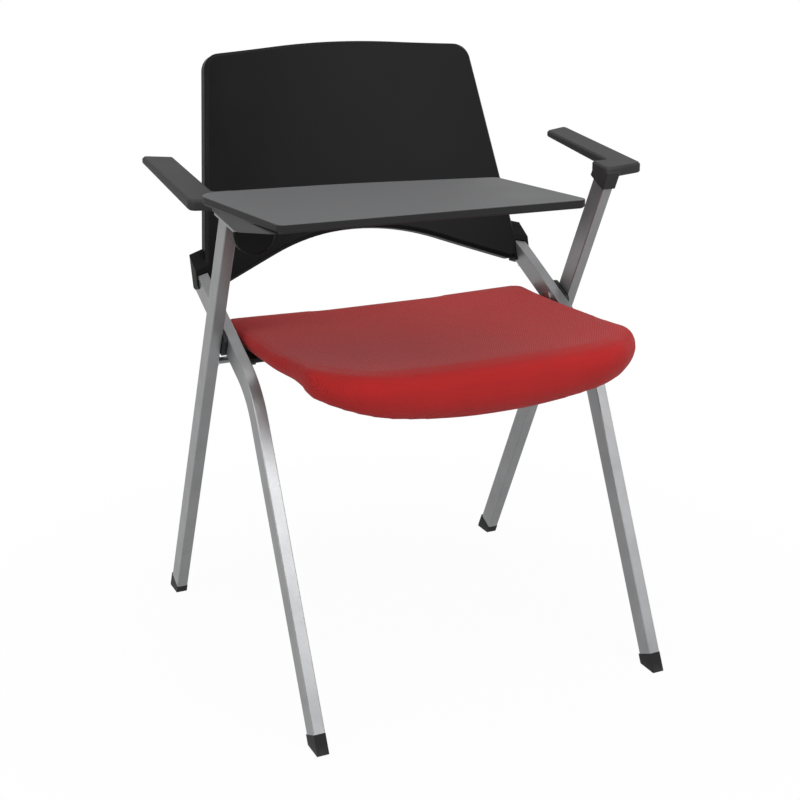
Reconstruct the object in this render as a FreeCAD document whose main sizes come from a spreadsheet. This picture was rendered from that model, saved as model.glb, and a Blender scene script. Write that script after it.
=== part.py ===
import FreeCAD, Part
import math
import os

# Tablet arm chair: a folding conference chair with two crossing leg frames.
# Millimetres and degrees.  X runs to the sitter's left, Y to the back, Z up, and the floor is z = 0.

Vector = FreeCAD.Vector
X_AXIS = Vector(1, 0, 0)
Z_AXIS = Vector(0, 0, 1)
SIDES = (("left", 1), ("right", -1))

DRIVING_SIZES = {
    # Leg tubes: a front leg that bends back to the backrest, and a straight rear leg up to the arm
    "frame_half_width": 250.2, "frame_gap": 5.3, "tube_width": 15.5, "tube_depth": 29.0, "tube_wall": 1.5,
    "tube_front_chamfer": 1.0, "tube_back_radius": 4.5, "leg_rake": 26.0, "back_rise": 26.0,
    "pivot_y": 56.05, "pivot_z": 447.2, "front_foot_reach": 290.9, "bend_radius": 110.0,
    "tube_end_height": 18.1, "foot_plug_length": 24.0, "foot_edge_radius": 1.5,
    # Crossing pivot
    "pivot_pin_radius": 5.0, "pivot_head_radius": 9.0, "pivot_head_height": 2.4, "pivot_bush_radius": 6.5,
    "spacer_length": 46.0, "spacer_depth": 31.0, "spacer_corner": 9.0,
    # Backrest panel: heights run up the reclined panel from the level of its low corners
    "back_setback": 87.4, "back_lift": 32.8, "back_recline": 16.05, "back_hollow": 32.0, "back_hollow_inset": 15.2,
    "back_rim": 20.0, "back_skin": 4.5, "back_wall": 4.0, "back_rib_depth": 10.0, "back_rib_spacing": 82.0,
    "back_front_chamfer": 4.5, "back_rear_chamfer": 1.2, "back_peak": 341.0, "back_peak_radius": 900.0,
    "back_corner_inset": 52.6, "back_corner_height": 321.5, "back_corner_radius": 25.0, "back_side_inset": 8.2,
    "back_low_corner": 12.0, "arch_peak": 100.5, "arch_radius": 328.0,
    "wing_height": 64.0, "wing_low": 14.0, "wing_fillet": 14.0, "wing_corner": 4.0,
    # Backrest sockets
    "socket_start": 71.7, "socket_grip": 46.0, "socket_wall": 2.6, "socket_heel_length": 51.0,
    "socket_top_length": 74.0, "socket_top_rise": 7.0, "socket_heel_radius": 14.0, "socket_top_radius": 5.0,
    "socket_mouth_radius": 1.0, "socket_edge_chamfer": 1.5,
    # Seat pad
    "seat_side_gap": 4.1, "seat_rear_reach": 73.7, "seat_length": 372.0, "seat_drop": 18.2,
    "seat_thickness": 18.0, "seat_dish": 4.5, "seat_rim_width": 34.6, "seat_edge_drop": 9.0,
    "seat_edge_lift": 6.0, "seat_front_lift": 4.0, "seat_front_rise": 11.0, "seat_sag": 4.0,
    "seat_nose_reach": 35.0, "seat_lip_drop": 29.0, "seat_lip_arch": 34.0, "seat_lip_setback": 11.0,
    "seat_lip_thickness": 13.0, "seat_lip_run": 68.0, "seat_rear_bulge": 4.0, "seat_front_corner": 58.0,
    "seat_rear_corner": 18.0,
    # Seat pan, hinges, axle and rests
    "pan_thickness": 5.0, "pan_inset": 45.6, "pan_front_setback": 106.0, "pan_rear_setback": 15.0,
    "pan_front_corner": 40.0, "pan_rear_corner": 20.0, "pan_rib_width": 4.0, "pan_rib_depth": 7.0,
    "pan_rib_spacing": 90.0, "pan_rib_setback": 20.0, "axle_drop": 40.0, "axle_radius": 4.5,
    "hinge_side_gap": 5.7, "hinge_width": 26.0, "hinge_knuckle_radius": 9.5, "hinge_plate_thickness": 4.0,
    "hinge_plate_length": 76.0, "hinge_plate_width": 78.0, "hinge_cheek_length": 54.0, "hinge_edge_radius": 1.0,
    "rest_length": 24.0, "rest_height": 7.0, "rest_reach": 38.0, "rest_setback": 34.3, "rest_corner": 1.5,
    # Arm pads
    "arm_collar": 196.7, "arm_grip": 11.0, "arm_cap": 12.0, "collar_wall": 2.6, "collar_radius": 2.5,
    "arm_width": 39.2, "arm_inner_gap": 5.8, "arm_rear_outer_reach": 103.7,
    "arm_rear_inner_reach": 88.7, "arm_front_reach": 98.3, "arm_neck_reach": 70.8, "arm_slope": 6.5, "arm_lift": 205.56,
    "arm_front_thickness": 13.5, "arm_rear_thickness": 8.5, "arm_front_corner": 9.0, "arm_rear_corner": 6.0,
    "arm_neck_corner": 4.5, "arm_edge_chamfer": 2.5, "arm_low_chamfer": 1.5,
    # Writing tablet's hinge
    "hub_inset": 5.5, "hub_lift": 160.4, "hub_front_reach": 109.8, "hub_radius": 26.2, "hub_thickness": 13.0,
    "hub_chamfer": 1.2, "hub_half_width": 19.6, "neck_thickness": 6.8, "hub_foot_length": 48.0,
    "hub_foot_thickness": 5.0, "tablet_pin_radius": 4.0, "tablet_pin_inset": 4.0, "boss_radius": 10.4,
    "boss_inset": 4.0, "bracket_start": 164.0, "bracket_end": 190.0, "bracket_inset": 3.0, "bracket_corner": 3.0,
    # Writing tablet's board, its support and its strap
    "board_thickness": 10.0, "board_lift": 52.4, "board_top_chamfer": 0.8, "board_low_chamfer": 2.0,
    "board_far_left_reach": 71.7, "board_far_left_setback": 5.6, "board_far_left_corner": 24.0,
    "board_far_right_reach": 297.2, "board_far_right_run": 49.7, "board_far_right_corner": 12.0, "board_far_bow": 5.0,
    "board_near_right_reach": 323.4, "board_near_right_run": 221.6, "board_near_right_corner": 10.0,
    "board_near_left_reach": 46.5, "board_near_left_run": 207.9, "board_near_left_corner": 9.0,
    "support_outer_reach": 52.3, "support_inner_reach": 32.7, "support_heel_depth": 10.5, "support_depth": 20.5,
    "support_keel_run": 84.0, "support_front_run": 201.6, "support_heel_radius": 5.0, "support_keel_radius": 120.0,
    "strap_thickness": 2.5, "strap_start": 10.0, "strap_length": 66.0,
    # Fits
    "running_clearance": 0.05, "face_clearance": 0.3, "slip_clearance": 0.1,
}
# Sizes that follow from others: widths from the frame, heights and depths from the crossing pivot
LINKED_SIZES = {
    "front_foot_y": "pivot_y - front_foot_reach",
    "back_low_x": "frame_half_width - back_side_inset",
    "back_corner_x": "frame_half_width - back_corner_inset",
    "back_hollow_half_span": "frame_half_width - back_hollow_inset",
    "back_y": "pivot_y + back_setback",
    "back_z": "pivot_z + back_lift",
    "seat_half_width": "frame_half_width - tube_width - seat_side_gap",
    "seat_flat_half_width": "seat_half_width - seat_rim_width",
    "seat_rear_y": "pivot_y + seat_rear_reach",
    "seat_front_y": "seat_rear_y - seat_length",
    "seat_bottom_z": "pivot_z - seat_drop",
    "seat_lip_z": "seat_bottom_z - seat_lip_drop",
    "hinge_outer_x": "frame_half_width - tube_width - hinge_side_gap",
    "rest_y": "pivot_y - rest_setback",
    "arm_inner_x": "frame_half_width + frame_gap + tube_width + arm_inner_gap",
    "arm_outer_x": "arm_inner_x + arm_width",
    "arm_rear_outer_y": "pivot_y + arm_rear_outer_reach",
    "arm_rear_inner_y": "pivot_y + arm_rear_inner_reach",
    "arm_front_y": "pivot_y - arm_front_reach",
    "arm_neck_y": "pivot_y - arm_neck_reach",
    "arm_top_z": "pivot_z + arm_lift",
    "hub_x": "hub_inset - frame_half_width",
    "hub_z": "pivot_z + hub_lift",
    "hub_front_y": "pivot_y - tube_depth / 2 - hub_front_reach",
    "board_top_z": "hub_z + board_lift",
    "board_far_left_x": "hub_x - board_far_left_reach",
    "board_far_left_y": "hub_front_y + board_far_left_setback",
    "board_far_right_x": "hub_x + board_far_right_reach",
    "board_far_right_y": "hub_front_y - board_far_right_run",
    "board_near_right_x": "hub_x + board_near_right_reach",
    "board_near_right_y": "hub_front_y - board_near_right_run",
    "board_near_left_x": "hub_x - board_near_left_reach",
    "board_near_left_y": "hub_front_y - board_near_left_run",
    "support_outer_x": "hub_x - support_outer_reach",
    "support_inner_x": "hub_x + support_inner_reach",
    "support_keel_y": "hub_front_y - support_keel_run",
    "support_front_y": "hub_front_y - support_front_run",
}
# How far a cutting outline reaches past the piece it cuts, and how full the seat's lip is for its width
CUT_MARGIN = 20.0
LIP_FULLNESS = 0.3

doc = FreeCAD.newDocument("TabletArmChair")
sheet = doc.addObject("Spreadsheet::Sheet", "Sizes")
sheet_rows = {alias: str(value) for alias, value in DRIVING_SIZES.items()}
sheet_rows.update({alias: f"={formula}" for alias, formula in LINKED_SIZES.items()})
for row, (alias, entry) in enumerate(sheet_rows.items(), start=1):
    sheet.set(f"A{row}", alias)
    sheet.set(f"B{row}", entry)
    sheet.setAlias(f"B{row}", alias)
doc.recompute()


def size(alias):
    return float(sheet.get(alias))


# Places that several pieces share
tube_width = size("tube_width")
half_depth = size("tube_depth") / 2
front_outer_x = size("frame_half_width")
front_inner_x = front_outer_x - tube_width
front_mid_x = front_outer_x - tube_width / 2
rear_inner_x = front_outer_x + size("frame_gap")
rear_outer_x = rear_inner_x + tube_width
rear_mid_x = rear_inner_x + tube_width / 2
rake = math.radians(size("leg_rake"))
rise = math.radians(size("back_rise"))
rear_leg_foot = -(size("pivot_z") - size("tube_end_height")) / math.cos(rake)
board_underside = size("board_top_z") - size("board_thickness")
nodes = []


def along_back_tube(distance, offset=0.0):
    """Point (y, z) on the upper front-frame tube, measured back from the pivot and up from its middle."""
    y = size("pivot_y") + distance * math.cos(rise) - offset * math.sin(rise)
    z = size("pivot_z") + distance * math.sin(rise) + offset * math.cos(rise)
    return y, z


def along_rear_leg(distance, offset=0.0):
    """Point (y, z) on the rear leg, measured up from the pivot and back from its middle."""
    y = size("pivot_y") - distance * math.sin(rake) + offset * math.cos(rake)
    z = size("pivot_z") + distance * math.cos(rake) + offset * math.sin(rake)
    return y, z


def along_front_leg(height, offset=0.0):
    """Point (y, z) on the front leg at a height of its middle line, and back from that line."""
    y = size("front_foot_y") + height * math.tan(rake) + offset * math.cos(rake)
    z = height - offset * math.sin(rake)
    return y, z


axle_y, axle_z = along_rear_leg(-size("axle_drop"))


# Outlines
def rounded_edges(points, radii=0.0):
    """Lines through the points, closed, with an arc of the given radius at each corner."""
    count = len(points)
    if not isinstance(radii, (list, tuple)):
        radii = [radii] * count
    corners = []
    for index in range(count):
        here = Vector(*points[index], 0)
        before = (Vector(*points[index - 1], 0) - here).normalize()
        after = (Vector(*points[(index + 1) % count], 0) - here).normalize()
        radius = radii[index]
        if radius <= 0:
            corners.append((here, None, here))
            continue
        half_angle = before.getAngle(after) / 2
        reach = radius / math.tan(half_angle)
        middle = (before + after).normalize()
        centre = here + middle * (radius / math.sin(half_angle))
        corners.append((here + before * reach, centre - middle * radius, here + after * reach))
    edges = []
    for index in range(count):
        start, middle, end = corners[index]
        if middle is not None:
            edges.append(Part.ArcOfCircle(start, middle, end))
        following = corners[(index + 1) % count][0]
        if end.distanceToPoint(following) > 1e-6:
            edges.append(Part.LineSegment(end, following))
    return edges


def box_points(low_a, low_b, high_a, high_b):
    return [(low_a, low_b), (high_a, low_b), (high_a, high_b), (low_a, high_b)]


def circle_at(a, b, radius):
    return [Part.Circle(Vector(a, b, 0), Z_AXIS, radius)]


def tube_section(middle_x, inset=0.0):
    """Section of the leg tube: crisp corners in front, softer ones behind, and plain ones in the bore."""
    half_width = tube_width / 2 - inset
    half = half_depth - inset
    low_x, high_x = middle_x - half_width, middle_x + half_width
    if inset > 0:
        return rounded_edges(box_points(low_x, -half, high_x, half))
    cut = size("tube_front_chamfer")
    back = size("tube_back_radius") - inset
    points = [
        (low_x + cut, -half), (high_x - cut, -half), (high_x, cut - half),
        (high_x, half), (low_x, half), (low_x, cut - half),
    ]
    return rounded_edges(points, [0, 0, 0, back, back, 0])


def span(side, near, far):
    """The low and high x of a stretch that is given by its distances from the middle plane."""
    return (near, far) if side > 0 else (-far, -near)


# Bodies and their features
def new_body(label):
    body = doc.addObject("PartDesign::Body", label)
    body.Label = label
    nodes.append(body)
    return body


def sketch_in(body, role, edges, base=Vector(), rotation=FreeCAD.Rotation()):
    sketch = body.newObject("Sketcher::SketchObject", "Sketch")
    plane = next(item for item in body.Origin.OriginFeatures if item.Role == role)
    sketch.AttachmentSupport = [(plane, "")]
    sketch.MapMode = "FlatFace"
    sketch.AttachmentOffset = FreeCAD.Placement(base, rotation)
    sketch.addGeometry(edges, False)
    sketch.Visibility = False
    return sketch


def pad_in(body, sketch, length, expression=None):
    pad = body.newObject("PartDesign::Pad", "Pad")
    pad.Profile = sketch
    pad.Length = length
    if expression:
        pad.setExpression("Length", expression)
    return pad


def pocket_in(body, sketch, length, both_ways=False):
    pocket = body.newObject("PartDesign::Pocket", "Pocket")
    pocket.Profile = sketch
    pocket.Length = length
    pocket.Midplane = both_ways
    return pocket


def side_pad(body, edges, low_x, high_x, expression=None):
    """Pad a (y, z) outline between two x values."""
    sketch = sketch_in(body, "YZ_Plane", edges, Vector(0, 0, low_x))
    return pad_in(body, sketch, high_x - low_x, expression)


def side_pocket(body, edges, low_x, high_x):
    """Cut a (y, z) outline between two x values."""
    sketch = sketch_in(body, "YZ_Plane", edges, Vector(0, 0, (low_x + high_x) / 2))
    return pocket_in(body, sketch, high_x - low_x, both_ways=True)


def front_pad(body, edges, front_y, rear_y, expression=None):
    """Pad an (x, z) outline between two y values."""
    sketch = sketch_in(body, "XZ_Plane", edges, Vector(0, 0, -rear_y))
    return pad_in(body, sketch, rear_y - front_y, expression)


def front_pocket(body, edges, front_y, rear_y):
    """Cut an (x, z) outline between two y values."""
    sketch = sketch_in(body, "XZ_Plane", edges, Vector(0, 0, -(front_y + rear_y) / 2))
    return pocket_in(body, sketch, rear_y - front_y, both_ways=True)


def edge_names(shape, keep):
    """Names of the edges whose ends and middle all pass a test."""
    names = []
    for index, edge in enumerate(shape.Edges, start=1):
        middle = edge.valueAt((edge.FirstParameter + edge.LastParameter) / 2)
        points = [vertex.Point for vertex in edge.Vertexes] + [middle]
        if all(keep(point) for point in points):
            names.append(f"Edge{index}")
    return names


def soften(body, kind, alias, keep):
    """Round or chamfer the chosen edges of the newest feature by a size of the sheet."""
    doc.recompute()
    base = body.Tip
    feature = body.newObject(f"PartDesign::{kind}", kind)
    feature.Base = (base, edge_names(base.Shape, keep))
    feature.setExpression("Radius" if kind == "Fillet" else "Size", f"Sizes.{alias}")
    return feature


def near(a, b):
    return abs(a - b) < 0.01


# Leg tubes and feet
def bend_points():
    """Start, middle and end of the bend where the raked front leg turns back to the backrest."""
    apex_z = size("pivot_z") + math.tan(rise) * (size("front_foot_y") - size("pivot_y"))
    apex_z /= 1 - math.tan(rise) * math.tan(rake)
    apex = Vector(*along_front_leg(apex_z), 0)
    down = Vector(-math.sin(rake), -math.cos(rake), 0)
    back = Vector(math.cos(rise), math.sin(rise), 0)
    half_angle = down.getAngle(back) / 2
    reach = size("bend_radius") / math.tan(half_angle)
    middle = (down + back).normalize()
    centre = apex + middle * (size("bend_radius") / math.sin(half_angle))
    return apex + down * reach, centre - middle * size("bend_radius"), apex + back * reach


def front_leg_tube(name, side):
    body = new_body(f"front_leg_tube_{name}")
    start_y, start_z = along_front_leg(size("tube_end_height"))
    end = Vector(*along_back_tube(size("socket_start") + size("socket_grip")), 0)
    low_bend, mid_bend, high_bend = bend_points()
    path_edges = [
        Part.LineSegment(Vector(start_y, start_z, 0), low_bend),
        Part.ArcOfCircle(low_bend, mid_bend, high_bend),
        Part.LineSegment(high_bend, end),
    ]
    middle_x = side * front_mid_x
    path = sketch_in(body, "YZ_Plane", path_edges, Vector(0, 0, middle_x))
    tilt = FreeCAD.Rotation(X_AXIS, -size("leg_rake"))
    start = Vector(0, start_y, start_z)
    for kind, inset in (("AdditivePipe", 0.0), ("SubtractivePipe", size("tube_wall"))):
        section = sketch_in(body, "XY_Plane", tube_section(middle_x, inset), start, tilt)
        pipe = body.newObject(f"PartDesign::{kind}", "Pipe")
        pipe.Profile = section
        pipe.Spine = (path, [])
    pin_hole = circle_at(size("pivot_y"), size("pivot_z"), size("pivot_pin_radius"))
    side_pocket(body, pin_hole, *span(side, front_inner_x - CUT_MARGIN, front_outer_x + CUT_MARGIN))


def rear_leg_tube(name, side):
    body = new_body(f"rear_leg_tube_{name}")
    start_y, start_z = along_rear_leg(rear_leg_foot)
    tilt = FreeCAD.Rotation(X_AXIS, size("leg_rake"))
    edges = tube_section(side * rear_mid_x) + tube_section(side * rear_mid_x, size("tube_wall"))
    section = sketch_in(body, "XY_Plane", edges, Vector(0, start_y, start_z), tilt)
    pad_in(body, section, size("arm_collar") + size("arm_grip") - rear_leg_foot)
    bush_hole = circle_at(size("pivot_y"), size("pivot_z"), size("pivot_bush_radius"))
    side_pocket(body, bush_hole, *span(side, rear_inner_x - size("frame_gap"), rear_mid_x))


def foot(label, middle_x, tilt_angle, tube_end):
    """Foot: a plug inside the tube and a wedge below it that is cut level with the floor."""
    body = new_body(label)
    front_top = tube_end(-half_depth)
    back_top = tube_end(half_depth)
    slope = math.tan(math.radians(tilt_angle))
    front_floor = (front_top[0] + front_top[1] * slope, 0.0)
    back_floor = (back_top[0] + back_top[1] * slope, 0.0)
    edge = size("foot_edge_radius")
    outline = rounded_edges([front_floor, back_floor, back_top, front_top], [edge, edge, 0, 0])
    low_x = middle_x - tube_width / 2
    side_pad(body, outline, low_x, low_x + tube_width, "Sizes.tube_width")
    inset = size("tube_wall") + size("slip_clearance")
    tilt = FreeCAD.Rotation(X_AXIS, tilt_angle)
    plug = sketch_in(body, "XY_Plane", tube_section(middle_x, inset), Vector(0, *tube_end(0.0)), tilt)
    pad_in(body, plug, size("foot_plug_length"), "Sizes.foot_plug_length")


def front_tube_end(offset):
    return along_front_leg(size("tube_end_height"), offset)


def rear_tube_end(offset):
    return along_rear_leg(rear_leg_foot, offset)


# Crossing pivot
def pivot_spacer(name, side):
    """Plastic plate that keeps the two crossing tubes apart."""
    body = new_body(f"pivot_spacer_{name}")
    half_length = size("spacer_length") / 2
    half = size("spacer_depth") / 2
    corners = box_points(-half_length, -half, half_length, half)
    outline = rounded_edges([along_back_tube(*corner) for corner in corners], size("spacer_corner"))
    pin_hole = circle_at(size("pivot_y"), size("pivot_z"), size("pivot_pin_radius"))
    side_pad(body, outline + pin_hole, *span(side, front_outer_x, rear_inner_x - size("face_clearance")))


def pivot_pin(name, side):
    """Shoulder screw through the front tube and the spacer into the rear tube's bush."""
    body = new_body(f"pivot_pin_{name}")
    head = circle_at(size("pivot_y"), size("pivot_z"), size("pivot_head_radius"))
    head_x = front_inner_x - size("pivot_head_height")
    side_pad(body, head, *span(side, head_x, front_inner_x), "Sizes.pivot_head_height")
    shank = circle_at(size("pivot_y"), size("pivot_z"), size("pivot_pin_radius"))
    side_pad(body, shank, *span(side, front_inner_x, rear_mid_x))


def pivot_bush(name, side):
    body = new_body(f"pivot_bush_{name}")
    outer = circle_at(size("pivot_y"), size("pivot_z"), size("pivot_bush_radius"))
    bore_radius = size("pivot_pin_radius") + size("running_clearance")
    bore = circle_at(size("pivot_y"), size("pivot_z"), bore_radius)
    side_pad(body, outer + bore, *span(side, rear_inner_x, rear_outer_x - size("tube_wall")))


# Backrest: a reclined shell, hollow at the back and ribbed, with a socket for each front-frame tube
back_curve = (size("back_hollow_half_span") ** 2 + size("back_hollow") ** 2) / (2 * size("back_hollow"))


def back_placement(rotation=FreeCAD.Rotation()):
    lean = FreeCAD.Rotation(X_AXIS, -size("back_recline"))
    return FreeCAD.Placement(Vector(0, size("back_y"), size("back_z")), lean.multiply(rotation))


def back_depth(point):
    """How far a point lies behind the backrest's hollow front face."""
    local = back_placement().inverse().multVec(point)
    return math.hypot(local.x, local.y - size("back_hollow") + back_curve) - back_curve


def extrusion(label, edges, placement, forward, backward=0.0):
    sketch = doc.addObject("Sketcher::SketchObject", f"{label}_outline")
    sketch.addGeometry(edges, False)
    sketch.Placement = placement
    solid = doc.addObject("Part::Extrusion", label)
    solid.Base = sketch
    solid.DirMode = "Normal"
    solid.LengthFwd = forward
    solid.LengthRev = backward
    solid.Solid = True
    return solid


def boolean(kind, label, *shapes):
    result = doc.addObject(f"Part::{kind}", label)
    if kind == "MultiFuse":
        result.Shapes = list(shapes)
    else:
        result.Base, result.Tool = shapes
    return result


def chamfered_solid(label, base, chamfers):
    """Chamfer of a solid, with (size, test of an edge's points) pairs."""
    doc.recompute()
    chamfer = doc.addObject("Part::Chamfer", label)
    chamfer.Base = base
    edges = []
    for width, keep in chamfers:
        edges += [(int(name[len("Edge"):]), width, width) for name in edge_names(base.Shape, keep)]
    chamfer.Edges = edges
    return chamfer


def back_slab(label, front_depth, rear_depth):
    """Part of a tall tube wall, which gives the backrest its hollow front."""
    centre_y = size("back_hollow") - back_curve
    reach = math.asin((front_outer_x + CUT_MARGIN) / back_curve)

    def on_arc(depth, angle):
        radius = back_curve + depth
        return Vector(radius * math.sin(angle), centre_y + radius * math.cos(angle), 0)

    edges = [
        Part.ArcOfCircle(*[on_arc(front_depth, angle) for angle in (-reach, 0, reach)]),
        Part.LineSegment(on_arc(front_depth, reach), on_arc(rear_depth, reach)),
        Part.ArcOfCircle(*[on_arc(rear_depth, angle) for angle in (reach, 0, -reach)]),
        Part.LineSegment(on_arc(rear_depth, -reach), on_arc(front_depth, -reach)),
    ]
    return extrusion(label, edges, back_placement(), size("back_peak") + CUT_MARGIN, CUT_MARGIN)


def back_prism(label, edges):
    """A front outline of the backrest pushed through its whole depth."""
    upright = back_placement(FreeCAD.Rotation(X_AXIS, 90))
    return extrusion(label, edges, upright, size("back_hollow_half_span"), size("back_hollow_half_span"))


def both_halves(points, radii, peak, peak_radius, arch, arch_radius):
    """Closed outline from its right half, the top's peak and the arch's peak."""
    mirrored = [(-x, height) for x, height in reversed(points)]
    corners = points + [(0.0, peak)] + mirrored + [(0.0, arch)]
    return rounded_edges(corners, radii + [peak_radius] + radii[::-1] + [arch_radius])


def back_peaks():
    return size("back_peak"), size("back_peak_radius"), size("arch_peak"), size("arch_radius")


def back_outline():
    """Front view of the panel: arched below, tapered and crowned above."""
    points = [(size("back_low_x"), 0.0), (size("back_corner_x"), size("back_corner_height"))]
    return both_halves(points, [size("back_low_corner"), size("back_corner_radius")], *back_peaks())


def wing_outline():
    """The panel's front view with a wing at each low corner, which blends into the socket."""
    wing_x = front_outer_x + size("socket_wall")
    taper = (size("back_low_x") - size("back_corner_x")) / size("back_corner_height")
    waist_x = size("back_low_x") - taper * size("wing_height")
    points = [
        (size("back_low_x"), 0.0),
        (wing_x, size("wing_low")),
        (wing_x, size("wing_height")),
        (waist_x, size("wing_height")),
        (size("back_corner_x"), size("back_corner_height")),
    ]
    corner = size("wing_corner")
    radii = [corner, corner, corner, size("wing_fillet"), size("back_corner_radius")]
    return both_halves(points, radii, *back_peaks())


def back_cavity_outline():
    """Outline of the hollow behind the skin, one wall in from the panel's own and clear of the sockets."""
    wall = size("back_wall")
    slope = size("arch_peak") / size("back_low_x")
    arch = size("arch_peak") + wall * math.hypot(1, slope)
    low_x = front_inner_x - size("socket_wall") - wall
    points = [
        (low_x, arch - slope * low_x),
        (size("back_corner_x") - wall, size("back_corner_height") - wall),
    ]
    radii = [size("back_low_corner"), size("back_corner_radius") - wall]
    peaks = size("back_peak") - wall, size("back_peak_radius"), arch, size("arch_radius")
    return both_halves(points, radii, *peaks)


def back_ribs():
    """Upright ribs that stiffen the skin."""
    half = size("back_wall") / 2
    edges = []
    for step in (-1.5, -0.5, 0.5, 1.5):
        middle = step * size("back_rib_spacing")
        edges += rounded_edges(box_points(middle - half, 0.0, middle + half, size("back_peak")))
    plates = back_prism("back_rib_plates", edges)
    depth = back_slab("back_rib_slab", size("back_skin") / 2, size("back_rib_depth"))
    trimmed = boolean("Common", "back_ribs_trimmed", plates, depth)
    return boolean("Common", "back_ribs", trimmed, back_prism("back_rib_limit", back_cavity_outline()))


def side_placement(x):
    """Places a (y, z) outline at x."""
    return FreeCAD.Placement(Vector(x, 0, 0), FreeCAD.Rotation(Vector(1, 1, 1), 120))


def socket_top():
    """Front and rear end of the socket's sloping top edge in side view."""
    start = size("socket_start")
    half = half_depth + size("socket_wall")
    front = along_back_tube(start, half)
    rear = along_back_tube(start + size("socket_top_length"), half + size("socket_top_rise"))
    return front, rear


def back_wing(name, side):
    """Wing that blends the panel's side into the socket, trimmed along the socket's top edge."""
    winged = boolean(
        "Common", f"winged_block_{name}", back_slab(f"wing_slab_{name}", 0.0, size("back_rim")),
        back_prism(f"wing_prism_{name}", wing_outline()),
    )
    front, rear = socket_top()
    slope = (rear[1] - front[1]) / (rear[0] - front[0])
    far_y = rear[0] + CUT_MARGIN
    below = [front, (far_y, front[1] + slope * (far_y - front[0])), (far_y, 0.0), (front[0], 0.0)]
    low_x, high_x = span(side, front_inner_x - size("socket_wall"), front_outer_x + size("socket_wall"))
    limit = extrusion(f"wing_limit_{name}", rounded_edges(below), side_placement(low_x), high_x - low_x)
    return boolean("Common", f"back_wing_{name}", winged, limit)


def back_socket(name, side):
    """Sleeve at the backrest's low corner, around the upper end of a front-frame tube."""
    start = size("socket_start")
    half = half_depth + size("socket_wall")
    front_top, rear_top = socket_top()
    points = [
        along_back_tube(start, -half),
        along_back_tube(start + size("socket_heel_length"), -half),
        rear_top,
        front_top,
    ]
    mouth = size("socket_mouth_radius")
    outline = rounded_edges(points, [mouth, size("socket_heel_radius"), size("socket_top_radius"), mouth])
    low_x, high_x = span(side, front_inner_x - size("socket_wall"), front_outer_x + size("socket_wall"))
    block = extrusion(f"socket_block_{name}", outline, side_placement(low_x), high_x - low_x)
    outer_x = side * (front_outer_x + size("socket_wall"))
    return chamfered_solid(
        f"socket_{name}", block, [(size("socket_edge_chamfer"), lambda point: near(point.x, outer_x))]
    )


def back_tube_hole(name, side):
    clear = size("slip_clearance")
    end = size("socket_start") + size("socket_grip") + size("face_clearance")
    corners = box_points(size("socket_start") - CUT_MARGIN, -half_depth - clear, end, half_depth + clear)
    outline = rounded_edges([along_back_tube(*corner) for corner in corners])
    low_x, high_x = span(side, front_inner_x - clear, front_outer_x + clear)
    return extrusion(f"tube_hole_{name}", outline, side_placement(low_x), high_x - low_x)


def backrest_shell():
    rim = size("back_rim")
    block = boolean(
        "Common", "back_block", back_slab("back_slab", 0.0, rim), back_prism("back_prism", back_outline())
    )
    chamfers = [
        (size("back_front_chamfer"), lambda point: near(back_depth(point), 0.0)),
        (size("back_rear_chamfer"), lambda point: near(back_depth(point), rim)),
    ]
    cavity = boolean(
        "Common", "back_cavity",
        back_slab("back_cavity_slab", size("back_skin"), rim + CUT_MARGIN),
        back_prism("back_cavity_prism", back_cavity_outline()),
    )
    shell = boolean("Cut", "back_open_shell", chamfered_solid("back_panel", block, chamfers), cavity)
    corners = [piece(name, side) for name, side in SIDES for piece in (back_socket, back_wing)]
    joined = boolean("MultiFuse", "back_with_sockets", shell, back_ribs(), *corners)
    holes = boolean("MultiFuse", "back_tube_holes", *[back_tube_hole(name, side) for name, side in SIDES])
    finished = boolean("Cut", "backrest_shell", joined, holes)
    finished.Label = "backrest_shell"
    nodes.append(finished)


# Seat pad
def seat_edge(x):
    """Share of the way that the pad's edge is drawn in at x, from 0 on the flat to 1 at the rim."""
    flat = size("seat_flat_half_width")
    return max(0.0, (abs(x) - flat) / (size("seat_half_width") - flat)) ** 2


def seat_underside(x):
    return size("seat_bottom_z") + size("seat_edge_lift") * seat_edge(x)


def corner_retreat(x, radius):
    """How far a rounded corner of this radius stands back from the straight edge at x."""
    into = min(max(abs(x) - (size("seat_half_width") - radius), 0.0), radius)
    return radius - math.sqrt(radius ** 2 - into ** 2)


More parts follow.
